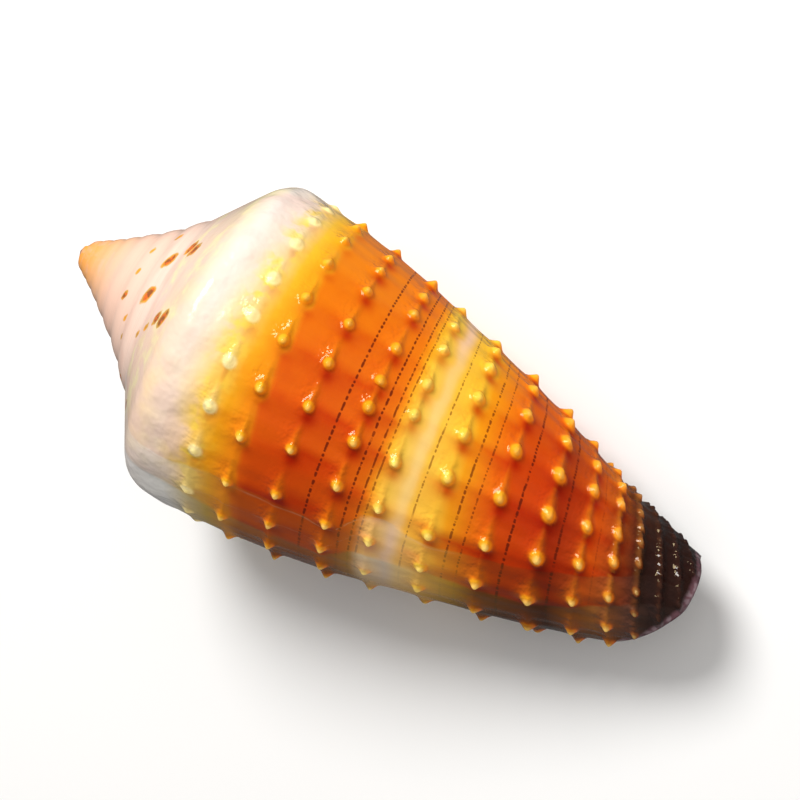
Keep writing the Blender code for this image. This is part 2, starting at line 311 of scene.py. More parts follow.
def section(angle):
    """Cross-section of the sheet: from the suture over the shoulder to the front end."""
    first = suture(angle)
    station = shoulder_station(angle)
    corner = np.array((station, radius_growth(angle) * side(station / axis_growth(angle))))
    begin_at = max(SIDE_START * axis_growth(angle), corner[0] + 0.8) / axis_growth(angle)
    begin = side_point(angle, begin_at)
    reach = suture(LIP) - suture(START)
    lip_corner = np.array((shoulder_station(START), radius_growth(START)
                           * side(shoulder_station(START) / axis_growth(START))))
    reach = reach - NEXT_SUTURE * (lip_corner - suture(START))
    fade = min(max(1 - (angle - START) / 90, 0), 1)
    next_suture = first + NEXT_SUTURE * (corner - first) + reach * fade * fade * (3 - 2 * fade)
    bend = first + SHOULDER_START * (corner - first)
    points = [first + (next_suture - first) * k / SUTURE_LINES for k in range(SUTURE_LINES)]
    points += [next_suture + (bend - next_suture) * k / RAMP_LINES for k in range(RAMP_LINES)]
    for k in range(ROUND_LINES):
        t = k / ROUND_LINES
        points.append((1 - t) ** 2 * bend + 2 * t * (1 - t) * corner + t * t * begin)
    end = front_end(angle) / axis_growth(angle)
    stations = np.concatenate((close_lines(begin_at, THINNED_AT, SIDE_LINES + 1)[:-1],
                               close_lines(THINNED_AT, end, FRONT_LINES)))
    return np.concatenate((np.array(points), side_point(angle, stations).T))


def close_lines(low, high, count):
    """Stations between two others, closer together at the knob rows."""
    fine = np.linspace(low, high, 1200)
    near = sum(np.exp(-((fine - row[0]) / ROW_REACH) ** 2) for row in ROWS)
    amount = np.concatenate(((0,), np.cumsum(1 + ROW_LINES * near[1:])))
    return np.interp(np.linspace(0, amount[-1], count), amount, fine)


def hollow_section(angle, wall=0.0):
    """Coarser cross-section from the shoulder to the front end, moved inwards by a wall."""
    begin_at = max(SIDE_START * axis_growth(angle), shoulder_station(angle) + 0.8) / axis_growth(angle)
    end = front_end(angle) / axis_growth(angle)
    points = side_point(angle, np.linspace(begin_at, end, HOLLOW_LINES)).T
    along = np.gradient(points, axis=0)
    along /= np.linalg.norm(along, axis=1)[:, None]
    return points - wall * np.stack((-along[:, 1], along[:, 0]), axis=1)


def whorl_strip(angle):
    """Cross-section of the part of an early whorl that shows on the spire."""
    first = suture(angle)
    last = suture(angle + TURN)
    across = last - first
    outward = np.array((-across[1], across[0]))
    steps = [k / SUTURE_LINES for k in range(SUTURE_LINES)]
    return np.array([first + t * across + 4 * t * (1 - t) * WHORL_BULGE * outward for t in steps])


def knob_angles(row):
    """Growth angles of a row's knobs, carried on at its spacing where the photograph shows none."""
    angles = list(row[5])
    while angles[0] > FIRST_KNOB:
        angles.insert(0, angles[0] - row[4])
    while angles[-1] < LIP:
        angles.append(angles[-1] + row[4])
    kept = []
    for angle in angles:
        clear = front_end(angle) / axis_growth(angle) - row[0]
        if FIRST_KNOB < angle < LIP - KNOB_MARGIN and clear > END_MARGIN:
            kept.append(angle)
    return kept


class FlatSheet:
    """Points and faces of the unrolled sheet."""

    def __init__(self):
        self.growth, self.points, self.inner, self.outer, self.faces = [], [], [], [], []

    def column(self, angle, points, inner=0.0, outer=0.0):
        first = len(self.growth)
        count = len(points)
        self.growth += [angle] * count
        self.points += [tuple(p) for p in points]
        self.inner += [inner] * count
        self.outer += [outer] * count
        return list(range(first, first + count))

    def face(self, corners):
        kept = list(dict.fromkeys(corners))
        if len(kept) > 2:
            self.faces.append(kept)

    def strip(self, first, second):
        """Quads between two rows with the same number of points."""
        for k in range(len(first) - 1):
            self.face((first[k], first[k + 1], second[k + 1], second[k]))

    def strips(self, rows):
        for first, second in zip(rows, rows[1:]):
            self.strip(first, second)

    def fan(self, centre, ring):
        for k, corner in enumerate(ring):
            self.face((centre, corner, ring[(k + 1) % len(ring)]))

    def thin(self, fine, coarse):
        """Triangles between three points and two."""
        self.face((fine[0], fine[1], coarse[0]))
        self.face((fine[1], coarse[1], coarse[0]))
        self.face((fine[1], fine[2], coarse[1]))

    def lace(self, first, second):
        """Triangles between two rows with different numbers of points."""
        i = j = 0
        while i < len(first) - 1 or j < len(second) - 1:
            next_first = (i + 1) / (len(first) - 1) if i < len(first) - 1 else 2
            next_second = (j + 1) / (len(second) - 1) if j < len(second) - 1 else 2
            if next_first <= next_second:
                self.face((first[i], first[i + 1], second[j]))
                i += 1
            else:
                self.face((first[i], second[j + 1], second[j]))
                j += 1


def growth_columns():
    angles = [START]
    for low, high, count in COLUMNS:
        angles += [low + (high - low) * (k + 1) / count for k in range(count)]
    return angles


def lay_out_sheet():
    """Make the closed sheet: spire strips, last whorl, lining of the opening and the ends."""
    sheet = FlatSheet()
    angles = growth_columns()
    per_turn = len(angles) - 1
    round_end = SUTURE_LINES + RAMP_LINES + ROUND_LINES
    side_end = round_end + SIDE_LINES

    # Last whorl's outside, with every second column left out near the front end
    sections = [section(a) for a in angles]
    grid = [sheet.column(a, s[:side_end + 1], outer=1.0) for a, s in zip(angles, sections)]
    front = [sheet.column(angles[i], sections[i][side_end + 1:], outer=1.0)
             for i in range(0, per_turn + 1, 2)]
    grid[-1][0] = grid[0][SUTURE_LINES]
    sheet.strips(grid)
    for i, (first, second) in enumerate(zip(front, front[1:])):
        sheet.thin([grid[2 * i + k][-1] for k in range(3)], [first[0], second[0]])
        sheet.strip(first, second)

    def whole(i):
        return grid[i] + front[i // 2]

    # Spire strips, from the nucleus to the start of the last whorl
    early = []
    angle = angles[per_turn - 1] - TURN
    while suture(angle)[1] > NUCLEUS_RADIUS:
        early.insert(0, angle)
        n = len(early) + 1
        angle = angles[per_turn - n % per_turn] - TURN * (1 + n // per_turn)
    strips = [sheet.column(a, whorl_strip(a)) for a in early]
    strips.append(grid[0][:SUTURE_LINES])
    edge = [s[0] for s in strips[:-1]] + [column[0] for column in grid]
    for i in range(len(early)):
        sheet.strip(strips[i] + [edge[i + per_turn]], strips[i + 1] + [edge[i + 1 + per_turn]])

    # Nucleus
    tip = sheet.column(early[0], [(0.0, 0.0)])[0]
    sheet.fan(tip, edge[:per_turn + 1] + strips[0][:0:-1])

    # Previous whorl inside the opening, and the inner side of the wall behind the lip
    depth = CAVITY // HOLLOW_STEP
    hidden = [sheet.column(START - HOLLOW_STEP * k, hollow_section(START - HOLLOW_STEP * k), inner=1.0)
              for k in range(depth, 0, -1)]
    sheet.strips(hidden)
    first_column = whole(0)[round_end:]
    sheet.lace(hidden[-1], first_column)
    lining = []
    for k in range(depth, -1, -1):
        a = LIP - HOLLOW_STEP * k
        wall = LIP_WALL + (WALL - LIP_WALL) * min((LIP - a) / LIP_TAPER, 1)
        lining.append(sheet.column(a, hollow_section(a, wall), inner=1.0))
    sheet.strips(lining)

    # Ends of the hollow: at the shoulder, deep inside, at the lip and at the front end
    sheet.strip([row[0] for row in lining], [row[0] for row in hidden] + [first_column[0]])
    sheet.strip(lining[0], hidden[0])
    sheet.lace(lining[-1], whole(per_turn)[round_end:])
    sheet.lace(grid[-1][:round_end + 1], grid[0][SUTURE_LINES:round_end + 1] + [lining[-1][0]])
    deep = [i for i in range(0, per_turn + 1, 2) if angles[i] >= LIP - CAVITY]
    front_wall = [front[i // 2][-1] for i in deep]
    sheet.lace(front_wall, [row[-1] for row in lining])

    # Front end of the columella
    rim = [row[-1] for row in hidden] + [front[i // 2][-1] for i in range(0, deep[0] + 2, 2)]
    rim.append(lining[0][-1])
    middle = np.mean([turned(sheet.growth[i], sheet.points[i]) for i in rim], axis=0)
    middle[0] -= END_DEPTH
    angle = math.degrees(math.atan2(-middle[1], middle[2]))
    centre = sheet.column(angle, [(middle[0], math.hypot(middle[1], middle[2]))], inner=1.0)[0]
    sheet.fan(centre, rim)
    return sheet


def turned(angle, point):
    """Set a section point round the axis, with the back upward and the lip side to -Y."""
    a = math.radians(angle)
    return np.array((point[0], -point[1] * math.sin(a), point[1] * math.cos(a)))


def keep_values(mesh, name, values):
    layer = mesh.attributes.new(name, "FLOAT", "POINT")
    layer.data.foreach_set("value", np.asarray(values, np.float32).ravel())


def flat_mesh(sheet):
    """Mesh of the unrolled sheet, its faces turned outwards, with the values that the tree winds it by."""
    growth = np.array(sheet.growth)
    points = np.array(sheet.points)
    along, radius = points[:, 0], points[:, 1]
    a = np.radians(growth)
    mesh = bpy.data.meshes.new("shell sheet")
    mesh.from_pydata(np.stack((along, -radius * np.sin(a), radius * np.cos(a)), axis=1), [], sheet.faces)
    shape = bmesh.new()
    shape.from_mesh(mesh)
    bmesh.ops.triangulate(shape, faces=[f for f in shape.faces if len(f.verts) > 4])
    bmesh.ops.recalc_face_normals(shape, faces=shape.faces)
    if shape.calc_volume(signed=True) < 0:
        bmesh.ops.reverse_faces(shape, faces=shape.faces)
    loose = [v for v in shape.verts if not v.link_faces]
    used = np.array([bool(v.link_faces) for v in shape.verts])
    bmesh.ops.delete(shape, geom=loose, context="VERTS")
    shape.to_mesh(mesh)
    shape.free()
    growth, along, radius = growth[used], along[used], radius[used]
    inner = np.array(sheet.inner)[used]
    outer = np.array(sheet.outer)[used]

    station = along / axis_growth(growth)
    flat = np.stack((station, growth * SHEET_SCALE, -inner), axis=1)
    mesh.vertices.foreach_set("co", flat.astype(np.float32).ravel())
    to_front = front_end(growth) - along
    relief = outer * np.clip((LIP - LIP_FADE[0] - growth) / LIP_FADE[1], 0, 1)
    relief = relief * np.clip(to_front / FRONT_FADE, 0, 1)
    relief *= np.clip((station - SHOULDER_FADE[0]) / SHOULDER_FADE[1], 0, 1)
    relief *= np.clip((growth - START - SEAM_FADE[0]) / SEAM_FADE[1], 0, 1)
    fresh, step = growth_steps(station, growth)
    values = {"growth": growth, "station": station, "grown along": along / axis_growth(growth),
              "grown radius": radius / radius_growth(growth), "relief": relief, "inner": inner,
              "to front": to_front, "fresh": fresh, "step": step}
    for name, value in values.items():
        keep_values(mesh, name, value)
    mesh.validate()
    return mesh


def growth_steps(station, growth):
    """Depth of the colour on each step of growth, and how far beside its row a band's edge is pushed on."""
    fresh = np.zeros(len(station))
    step = np.zeros(len(station))
    for k, row in enumerate(ROWS):
        next_at = ROWS[k + 1][0] if k + 1 < len(ROWS) else 60
        angles = np.array(knob_angles(row))
        if len(angles) < 2:
            continue
        here = (station >= row[0] - 0.1) & (station < next_at - 0.1)

        def part(turn):
            """Which knob comes before, and the share of the way to the next one."""
            i = np.clip(np.searchsorted(angles, turn, side="right") - 1, 0, len(angles) - 2)
            return i, np.clip((turn - angles[i]) / (angles[i + 1] - angles[i]), 0, 1)

        i, t = part(growth[here])
        depth = 0.75 + 0.25 * np.sin(12.9898 * angles + 4.1 * row[0])
        fading = np.clip(1 - t / 0.75, 0, 1) ** 1.3 * depth[i]
        coming = np.clip((t - 0.74) / 0.26, 0, 1) ** 1.6 * depth[i + 1]
        fresh[here] = np.maximum(fading, coming)
        i, t = part(growth[here] - STEP_LAG)
        falling = np.clip(1 - t / 0.28, 0, 1)
        beside = np.exp(-((station[here] - row[0] - 0.5) / 0.7) ** 2) * (row[0] > FIRST_STEP)
        step[here] = np.maximum(t ** 1.5, falling * falling * (3 - 2 * falling)) * beside
    return fresh, step


def knob_seats():
    """Points of the flat sheet where the knobs sit, with the size of each."""
    places, heights, beads, cords = [], [], [], []
    for row in ROWS:
        for angle in knob_angles(row):
            uneven = math.sin(12.9898 * angle + 78.233 * row[0])
            places.append((row[0], angle * SHEET_SCALE, 0))
            heights.append(row[1] * (1 + 0.10 * uneven))
            beads.append(row[2] * (1 + 0.06 * math.sin(37.7 * angle + row[0])))
            cords.append(row[3])
    mesh = bpy.data.meshes.new("knob seats")
    mesh.from_pydata(places, [], [])
    keep_values(mesh, "knob height", heights)
    keep_values(mesh, "bead radius", beads)
    keep_values(mesh, "cord height", cords)
    seats = bpy.data.objects.new("knob_seats", mesh)
    bpy.context.scene.collection.objects.link(seats)
    return seats


def from_either_side(operation):
    """Two methods that add a Math node, for a socket at the left of an operator and at its right."""
    return (lambda self, other: self.graph.maths(operation, self, other),
            lambda self, other: self.graph.maths(operation, other, self))


class Value:
    """Socket of a node tree. Arithmetic on it adds Math nodes."""

    def __init__(self, graph, socket):
        self.graph = graph
        self.socket = socket

    __add__, __radd__ = from_either_side("ADD")
    __sub__, __rsub__ = from_either_side("SUBTRACT")
    __mul__, __rmul__ = from_either_side("MULTIPLY")
    __truediv__, __rtruediv__ = from_either_side("DIVIDE")
    __pow__ = from_either_side("POWER")[0]

    def __neg__(self):
        return self.graph.maths("MULTIPLY", self, -1)

    def __abs__(self):
        return self.graph.maths("ABSOLUTE", self)


class Graph:
    """Node tree that is written as expressions."""

    def __init__(self, tree):
        self.tree = tree

    def node(self, kind, settings=None, inputs=None, output=0):
        """Add a node: its type, its settings, then the values or links of its sockets."""
        item = self.tree.nodes.new(kind)
        for name, value in (settings or {}).items():
            if name == "stops":
                self.set_stops(item.color_ramp, value)
            else:
                setattr(item, name, value)
        for key, value in (inputs or {}).items():
            socket = item.inputs[key]
            if isinstance(value, Value):
                self.tree.links.new(value.socket, socket)
            else:
                socket.default_value = value
        return Value(self, item.outputs[output])

    def set_stops(self, ramp, stops):
        while len(ramp.elements) > 1:
            ramp.elements.remove(ramp.elements[-1])
        for k, (place, colour) in enumerate(stops):
            stop = ramp.elements[0] if k == 0 else ramp.elements.new(place)
            stop.position = place
            stop.color = colour

    def maths(self, operation, *values):
        return self.node("ShaderNodeMath", {"operation": operation}, dict(enumerate(values)))

    def most(self, a, b):
        return self.maths("MAXIMUM", a, b)

    def least(self, a, b):
        return self.maths("MINIMUM", a, b)

    def bell(self, value, width):
        """1 where the value is 0, falling off smoothly over the width."""
        scaled = value / width
        return self.maths("EXPONENT", -(scaled * scaled))

    def rise(self, value, low, high):
        """Smooth step from 0 to 1."""
        return self.node("ShaderNodeMapRange", {"interpolation_type": "SMOOTHSTEP"},
                         {0: value, 1: low, 2: high, 3: 0.0, 4: 1.0})

    def vector(self, x, y, z):
        return self.node("ShaderNodeCombineXYZ", {}, {0: x, 1: y, 2: z})

    def vectors(self, operation, *values, output="Vector"):
        return self.node("ShaderNodeVectorMath", {"operation": operation}, dict(enumerate(values)), output)

    def part(self, vector, axis):
        return self.node("ShaderNodeSeparateXYZ", {}, {0: vector}, axis)

    def mix(self, factor, first, second, blend="MIX"):
        """Mix of two colours, each a socket, four numbers or a colour code."""
        first, second = (paint(c) if isinstance(c, str) else c for c in (first, second))
        return self.node("ShaderNodeMix", {"data_type": "RGBA", "blend_type": blend},
                         {0: factor, 6: first, 7: second}, 2)

    def tint(self, first, second):
        return self.mix(1.0, first, second, "MULTIPLY")

    def ramp(self, station, stops):
        """Color Ramp along the shell."""
        placed = [((at - RAMP_START) / RAMP_LENGTH, colour) for at, colour in stops]
        return self.node("ShaderNodeValToRGB", {"stops": placed},
                         {0: (station - RAMP_START) / RAMP_LENGTH})

    def bands(self, station, stops, strength=1.0):
        """Colour bands along the shell."""
        return self.ramp(station, [(at, paint(code, strength)) for at, code in stops])

    def level(self, station, stops, low, high):
        """Number that changes along the shell, through a ramp of greys between low and high."""
        greys = [(at, [(number - low) / (high - low)] * 3 + [1]) for at, number in stops]
        return self.node("ShaderNodeSeparateColor", {}, {0: self.ramp(station, greys)}) * (high - low) + low

    def noise(self, place, scale, detail=2.0, rough=0.5):
        return self.node("ShaderNodeTexNoise", {"noise_dimensions": "3D"},
                         {"Vector": place, "Scale": scale, "Detail": detail, "Roughness": rough})

    def around(self, place, along, turns):
        """Place stretched along the axis and round it, for lines of growth or spiral threads."""
        ray = self.vectors("NORMALIZE", self.vectors("MULTIPLY", place, (0, 1, 1)))
        shift = self.vectors("MULTIPLY", place, (along, 0, 0))
        return self.vectors("MULTIPLY_ADD", ray, (turns, turns, turns), shift)

    def attribute(self, name, output="Fac"):
        return self.node("ShaderNodeAttribute", {"attribute_name": name}, {}, output)


def winding_tree():
    """Geometry Nodes tree that winds the flat sheet into the shell and raises its relief."""
    tree = bpy.data.node_groups.new("wind the shell", "GeometryNodeTree")
    kinds = {"Geometry": "Geometry", "Knob seats": "Object", "Glaze": "Material"}
    for name in ("Geometry", "Knob seats", "Glaze", "Radius growth", "Axis growth", "Early growth",
                 "Early angle", "Early spread", "Knob height", "Tail length", "Knob lean", "Cord width",
                 "Ripple height"):
        kind = "NodeSocket" + kinds.get(name, "Float")
        tree.interface.new_socket(name, in_out="INPUT", socket_type=kind)
    tree.interface.new_socket("Geometry", in_out="OUTPUT", socket_type="NodeSocketGeometry")
    graph = Graph(tree)
    most, least, bell, rise = graph.most, graph.least, graph.bell, graph.rise
    maths, noise, vector = graph.maths, graph.noise, graph.vector
    entry = tree.nodes.new("NodeGroupInput")

    def given(name):
        return Value(graph, entry.outputs[name])

    def kept(name):
        return graph.node("GeometryNodeInputNamedAttribute", {"data_type": "FLOAT"}, {"Name": name})

    # Size of the sheet at each growth angle
    growth, station = kept("growth"), kept("station")
    turn = growth * math.radians(1)
    early = (given("Early angle") - growth) / given("Early spread")
    here = most(early, 0) + maths("LOGARITHM", 1 + maths("EXPONENT", -abs(early)), math.e)
    start = given("Early angle") / given("Early spread")
    start = maths("LOGARITHM", 1 + maths("EXPONENT", start), math.e)
    slow = given("Early growth") * given("Early spread") * math.radians(1) * (here - start)
    wide = maths("EXPONENT", given("Radius growth") * turn - slow)
    long = maths("EXPONENT", given("Axis growth") * turn)
    along = kept("grown along") * long
    radius = kept("grown radius") * wide
    sine, cosine = maths("SINE", turn), maths("COSINE", turn)
    wound = graph.node("GeometryNodeSetPosition", {}, {
        "Geometry": given("Geometry"), "Position": vector(along, -(radius * sine), radius * cosine)})

    # Distance from the knob that a point belongs to, along and across its row
    seats = graph.node("GeometryNodeObjectInfo", {}, {"Object": given("Knob seats")}, "Geometry")

    def from_knob(shift):
        spot = vector(station, (growth + shift) * SHEET_SCALE, 0.0)
        index = graph.node("GeometryNodeSampleNearest", {"domain": "POINT"},
                           {"Geometry": seats, "Sample Position": spot})

        def sampled(value, kind="FLOAT"):
            return graph.node("GeometryNodeSampleIndex", {"data_type": kind, "domain": "POINT"},
                              {"Geometry": seats, "Value": value, "Index": index})

        place = sampled(graph.node("GeometryNodeInputPosition"), "FLOAT_VECTOR")
        angle = graph.part(place, 1) / SHEET_SCALE
        past = (growth - angle) * math.radians(1) * radius
        return past, (station - graph.part(place, 0)) * long, sampled

    past, across, sampled = from_knob(LOOK_AHEAD)
    height = sampled(kept("knob height")) * given("Knob height")
    size = sampled(kept("bead radius"))
    cord = sampled(kept("cord height"))
    ahead, behind = most(past, 0), most(-past, 0)
    apart = (across * across + past * past) / (size * size * 1.28)
    bead = most(1.1 - (apart + 0.2) ** 0.5, 0) * 1.53
    foot = maths("EXPONENT", -(apart / 1.7))
    left = most(1 - behind / given("Tail length"), 0)
    narrow = size * (0.28 + 0.30 * left)
    tail = left ** 1.3 * bell(across, narrow) * bell(ahead, size * 0.6)
    spread = narrow * (1.25 + 1.1 * rise(growth, 14, 46) * rise(station, 14, 22))
    glow = left * bell(across, spread) * bell(ahead, size * 0.6)
    uneven = noise(vector(station * 1.5, growth * 0.36, 8.0), 1.0, 1.0)
    knob = height * (0.56 * bead + 0.14 * foot + 0.38 * tail * (0.55 + 0.9 * uneven))
    low = (1.9 * uneven - 0.1) * bell(across, given("Cord width")) + 0.25 * bell(across, 0.75)
    low = cord * low

    # Ripples of growth across the sheet
    ripple = noise(vector(station * 0.12, growth * 0.16, 0.0), 1.0, 0.0)
    swell = noise(vector(station * 0.55, growth * 0.09, 5.0), 1.0, 0.0)
    on_side = 0.3 + 0.7 * rise(station, 12.5, 15.0)
    ripple = (ripple - 0.5) * on_side + 2.2 * (swell - 0.5) * bell(station - 11.4, 1.7)
    ripple = ripple * given("Ripple height")

    relief = kept("relief")
    normal = graph.node("GeometryNodeInputNormal")
    lean = relief * height * bead * bead * given("Knob lean")
    outward = graph.node("ShaderNodeVectorMath", {"operation": "SCALE"},
                         {0: normal, "Scale": relief * (knob + low + ripple)})
    onward = graph.node("ShaderNodeVectorMath", {"operation": "SCALE"},
                        {0: vector(0.0, -cosine, -sine), "Scale": lean})
    raised = graph.node("GeometryNodeSetPosition", {}, {
        "Geometry": wound, "Offset": graph.vectors("ADD", outward, onward)})

    # What the glaze needs to know
    after, beside = from_knob(-LOOK_BACK)[:2]
    # Stain beyond each knob toward the lip: partly its own colour, partly painted shade on the knob's side
    # away from the key light
    patch = bell(after - 0.60, 0.46) * bell(beside - 0.20, 0.46) * relief
    trail = left ** 0.5 * bell(across + 0.24, 0.34) * bell(ahead, size * 0.6)
    trail = trail * bell(growth + 22, 30)
    glint = most(bell(past + 0.45, 0.85) * bell(across + 0.40, 0.45), trail) * relief
    # Side of each knob away from the key light, for its painted shade
    lee = least((0.9 * across + 0.43 * past) / size, 2)
    shaped = raised
    for name, value, kind in (("bead", bead * relief, "FLOAT"), ("tail", glow * relief, "FLOAT"),
                              ("patch", patch, "FLOAT"), ("cord", low * relief, "FLOAT"),
                              ("glint", glint, "FLOAT"), ("lee", lee, "FLOAT"),
                              ("place", graph.node("GeometryNodeInputPosition"), "FLOAT_VECTOR")):
        shaped = graph.node("GeometryNodeStoreNamedAttribute", {"data_type": kind, "domain": "POINT"},
                            {"Geometry": shaped, "Name": name, "Value": value})
    smooth = graph.node("GeometryNodeSetShadeSmooth", {}, {"Geometry": shaped})
    plain = graph.node("GeometryNodeRealizeInstances", {}, {"Geometry": smooth})
    glazed = graph.node("GeometryNodeSetMaterial", {}, {"Geometry": plain, "Material": given("Glaze")})
    leave = tree.nodes.new("NodeGroupOutput")
    tree.links.new(glazed.socket, leave.inputs[0])
    return tree


def flame_spots(graph, place, down):
    """Strength of the spire's flame spots: slanted strokes with frayed edges."""
    slanted = graph.vectors("DOT_PRODUCT", place, (1.0, -FLAME_SLANT, 0.0), output="Value")
    fuzz = graph.node("ShaderNodeTexNoise", {}, {"Vector": place, "Scale": 2.6, "Detail": 3.0}, "Color")
    frayed = graph.vectors("MULTIPLY_ADD", fuzz, (FLAME_WARP, FLAME_WARP, FLAME_WARP), place)
    frayed = graph.vectors("MULTIPLY", frayed, (0, 1, 1))
    frayed = graph.vectors("ADD", frayed, graph.vector(slanted * FLAME_STRETCH, 0.0, 0.0))
    flames = None
    for angle, along, wide, size in SPOTS:
        x, y, z = turned(angle, (along, wide))
        centre = ((x - FLAME_SLANT * y) * FLAME_STRETCH, y + FLAME_WARP / 2, z + FLAME_WARP / 2)
        gap = graph.vectors("DISTANCE", frayed, centre, output="Value")
        spot = graph.rise(gap, size * 1.9, size * 0.30) * (1.0 if size > SMALL_SPOT else 0.62)
        flames = spot if flames is None else graph.most(flames, spot)
    return flames * graph.rise(10.2 - down, 0.0, 0.4)


def dotted_lines(graph, station, growth):
    """Strength of the dotted lines. Slow noises along each line shift, lengthen and fade its dots."""
    rise, noise, vector = graph.rise, graph.noise, graph.vector
    dots = None
    for k, (line, strength, half) in enumerate(LINES):
        drift = noise(vector(growth * 0.13, 7.3 * k, 2.0), 1.0, 2.0)
        reach = noise(vector(growth * 0.55, 3.1 * k, 9.0), 1.0, 1.0)
        phase = growth / DOT_SPACING + drift * 2.4 + reach * 0.5 + 0.37 * k
        beat = abs(graph.maths("FRACT", phase) - 0.5) * 0.3
        off = (station - line + (drift - 0.5) * 0.10) / (half * (0.50 + 0.85 * reach))
        longer = 0.16 * rise(reach, 0.48, 0.60) * rise(growth, -40, 10)
        gap = ((beat / (0.008 + 0.19 * reach + longer)) ** 2 + off * off) ** 0.5
        shown = rise(drift, 0.26, 0.44) * rise(reach, 0.26, 0.42)
        dot = rise(gap, 1.35, 0.65) * strength * shown
        dots = dot if dots is None else graph.most(dots, dot)
    return dots


def shell_glaze(colours):
    """Glossy glaze: bands, yellow knobs, dotted lines, flame spots and a darker, rougher zone by the lip.
    """
    material = bpy.data.materials.new("shell glaze")
    material.use_nodes = True
    tree = material.node_tree
    shader = tree.nodes["Principled BSDF"]
    graph = Graph(tree)
    mix, tint, rise, bell, noise = graph.mix, graph.tint, graph.rise, graph.bell, graph.noise
    station, growth, inner, to_front = map(graph.attribute, ("station", "growth", "inner", "to front"))
    bead, tail, patch, glint = map(graph.attribute, ("bead", "tail", "patch", "glint"))
    lee, cord, step, fresh = map(graph.attribute, ("lee", "cord", "step", "fresh"))
    place = graph.attribute("place", "Vector")
    down = graph.part(place, 0)

    cloud = noise(place, 0.9, 3.0)
    grain = noise(graph.around(place, 0.5, 30), 1.0, 3.0, 0.6)
    wobble = noise(graph.around(place, 0.3, 7), 1.0, 2.0)
    at = station + (wobble - 0.5) * 0.30 + (grain - 0.5) * 0.06 - step * 0.32 + 0.10

    # Bands of the last whorl, deeper toward the lip: partly the shell's own colour, partly painted shade on
    # the side away from the key light
    lower = rise(growth + (cloud - 0.5) * 20 + rise(station, 27, 30) * 28, -62, 20)
    bands = mix(lower, graph.bands(at, BACK_BANDS, 0.95), graph.bands(at, LOW_BANDS, 1.0))
    in_colour = rise(at, 15.5, 16.6)
    deeper = tint(bands, "E0907A")
    strong = (1 - 0.85 * bell(station - 24.5, 0.9)) * (0.30 + 0.70 * in_colour)
    bands = mix(fresh * strong * (0.10 + 0.90 * lower) * (0.4 + 0.9 * cloud), bands, deeper)
    # Stain beyond each knob: partly real colour, partly painted shade
    stained_and_shaded = tint(bands, colours.patch)
    bands = mix(patch * strong, bands, stained_and_shaded)
    # Painted shade: the coloured bands darken toward the lower side, away from the key light
    painted_shade_below = rise(growth, 16, 44) * in_colour * (0.55 - 0.42 * bell(station - 25, 2.2))
    bands = mix(painted_shade_below, bands, tint(bands, "DCA08C"))

    pink = bell(at - 24.5, 0.42) * (rise(growth, -34, -60) + rise(growth, 26, 42))
    bands = mix(pink * 0.8, bands, "F4C6A6")

    # Shoulder: whiter middle, partly its pale colour and partly a painted highlight of the key light's
    # glare; blush toward both ends, patches of yellow at the first row
    white = bell(at - 11.2, 1.2) * bell(growth + 14, 30) * (0.25 + 0.9 * cloud)
    bands = mix(white * 0.55, bands, "F2EAE6")
    blush = rise(noise(place, 0.55, 2.0), 0.40, 0.64) * rise(13.4 - at, 0.0, 1.2)
    bands = mix(blush * (1 - white) * 0.6, bands, "EFCDC0")
    sunny = rise(noise(place, 0.95, 2.0), 0.47, 0.60) * bell(at - 13.2, 0.75)
    bands = mix(sunny * 0.75, bands, "FBD148")

    # Spire: orange tip, pinkish whorls, pale yellow streaks and flame spots
    spire_at = graph.bands(down + RAMP_START, SPIRE_BANDS)
    body = rise(down + (cloud - 0.5) * 1.2, 6.6, 8.2)
    base = mix(body, spire_at, bands)
    radius = graph.vectors("LENGTH", graph.vectors("MULTIPLY", place, (0, 1, 1)), output="Value")
    sway = (noise(place, 0.7, 2.0) - 0.5) * 2.4
    streak = bell(radius - 8.7 + growth * 0.010 + sway, 0.5) + bell(radius - 7.0 + sway, 0.3)
    streak = graph.least(streak, 1) * rise(cloud, 0.36, 0.58) * rise(10.6 - down, 0.0, 0.8)
    base = mix(streak * 0.75, base, "F8EBB2")
    shade = noise(graph.vector(radius * 1.3, growth * 0.03, 4.0), 1.0, 2.0)
    base = mix(rise(shade, 0.48, 0.62) * rise(9.6 - down, 0.0, 2.0) * 0.35, base, "E9BBA6")
    flames = flame_spots(graph, place, down) * (1 - inner)
    core = mix(rise(noise(place, 4.0, 2.0), 0.44, 0.56), "944C12", colours.spots)
    halo = mix(rise(cloud, 0.4, 0.6), "F0A52C", "CC9838")
    flame_colour = mix(rise(flames, 0.50, 0.84), halo, core)
    base = mix(rise(flames, 0.14, 0.42) * 0.95, base, flame_colour)

    base = mix(dotted_lines(graph, station, growth) * 0.88, base, colours.lines)

    # Knobs and the cords between them
    knob_colour = graph.bands(station, KNOB_BANDS, 0.9)
    mound = rise(bead, 0.02, 0.55)
    # Painted light and shade on the knobs: paler yellow on the side toward the key light, deeper orange on
    # the side away from it
    rich = tint(knob_colour, "FAA860")
    rich = mix(rise(station, 13.8, 14.8), "FFE49C", rich)
    painted_shade_side = rise(lee, -0.4, 1.0)
    core = rise(bead, 0.58, 0.98)
    # Painted shade: the cords at the front end lose their colour toward the lower side
    dim = 1 - 0.7 * rise(station, 36.9, 37.7) * rise(growth, -8, 12)
    base = mix(rise(cord, 0.04, 0.18) * (0.12 + 0.4 * cloud) * dim, base, knob_colour)
    base = mix(tail * 0.55 * (1 - mound), base, mix(0.5, rich, knob_colour))
    lit = rise(bead, 0.0, 0.60) * (1 - 0.65 * painted_shade_side)
    base = mix(mound * 0.95, base, mix(lit, rich, knob_colour))
    coloured = (1 - inner) * rise(38.6 - station, 0, 1.6)
